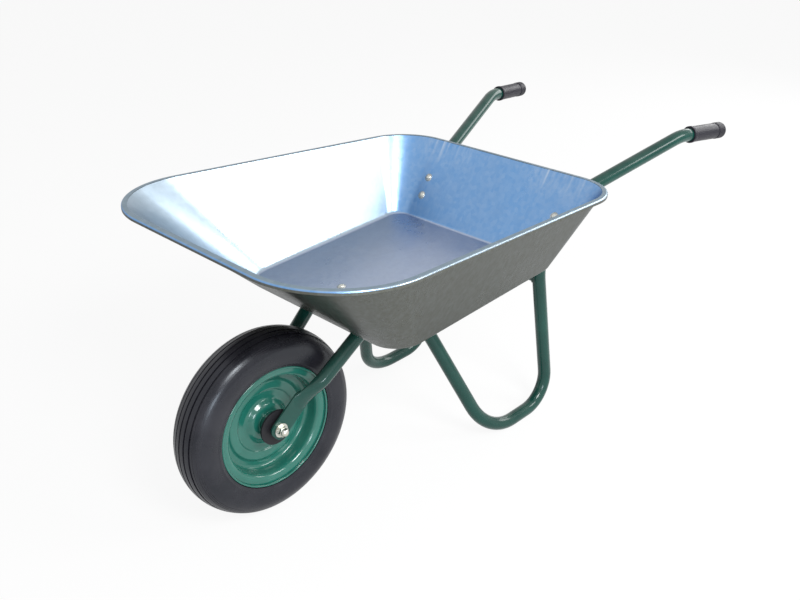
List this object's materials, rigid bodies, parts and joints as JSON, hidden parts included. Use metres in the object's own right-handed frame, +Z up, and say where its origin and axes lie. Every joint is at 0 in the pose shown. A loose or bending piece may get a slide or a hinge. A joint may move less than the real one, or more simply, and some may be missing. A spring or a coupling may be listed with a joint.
{
  "type": "wheelbarrow",
  "caption": "Garden wheelbarrow with a pressed sheet-steel tray, a bent tube frame with looped legs and straight grips, and an air-filled wheel that turns on its axle.",
  "frame": {"origin": "on the ground, below the middle of the overall length and width", "axes": "+X forwards to the wheel, +Y to the user's left, +Z up"},
  "size_m": [1.2819, 0.6916, 0.5801],
  "materials": {
    "galvanised_sheet": "galvanised, fine spangle, half gloss",
    "frame_paint": "gloss powder coat",
    "rim_paint": "gloss paint",
    "zinc": "bright zinc plating",
    "plain_steel": "turned, greased",
    "tyre_rubber": "moulded, half matt",
    "tube_rubber": "matt",
    "grip_rubber": "fine grain, half matt",
    "cage_plastic": "moulded",
    "cap_plastic": "moulded"
  },
  "bodies": {
    "frame": {"tray": "galvanised_sheet", "left_frame_tube": "frame_paint", "right_frame_tube": "frame_paint", "tray_support_strap": "frame_paint", "leg_brace": "frame_paint", "left_grip": "grip_rubber", "right_grip": "grip_rubber", "back_bolts": "zinc", "back_washers": "zinc", "back_nuts": "zinc", "floor_bolts": "zinc", "floor_washers": "zinc", "floor_nuts": "zinc", "axle_rod": "zinc", "axle_sleeve": "plain_steel", "axle_washers": "zinc", "axle_nuts": "zinc"},
    "wheel": {"tyre": "tyre_rubber", "inner_tube": "tube_rubber", "rim_left": "rim_paint", "rim_right": "rim_paint", "hub_tube": "rim_paint", "roller_cages": "cage_plastic", "rollers": "plain_steel", "valve_stem": "tube_rubber", "valve_cap": "cap_plastic"}
  },
  "joints": [
    {"name": "wheel_spin", "type": "hinge", "parent": "frame", "child": "wheel", "pos_m": [0.45597, 0, 0.185], "axis": [0, 1, 0], "continuous": true}
  ]
}
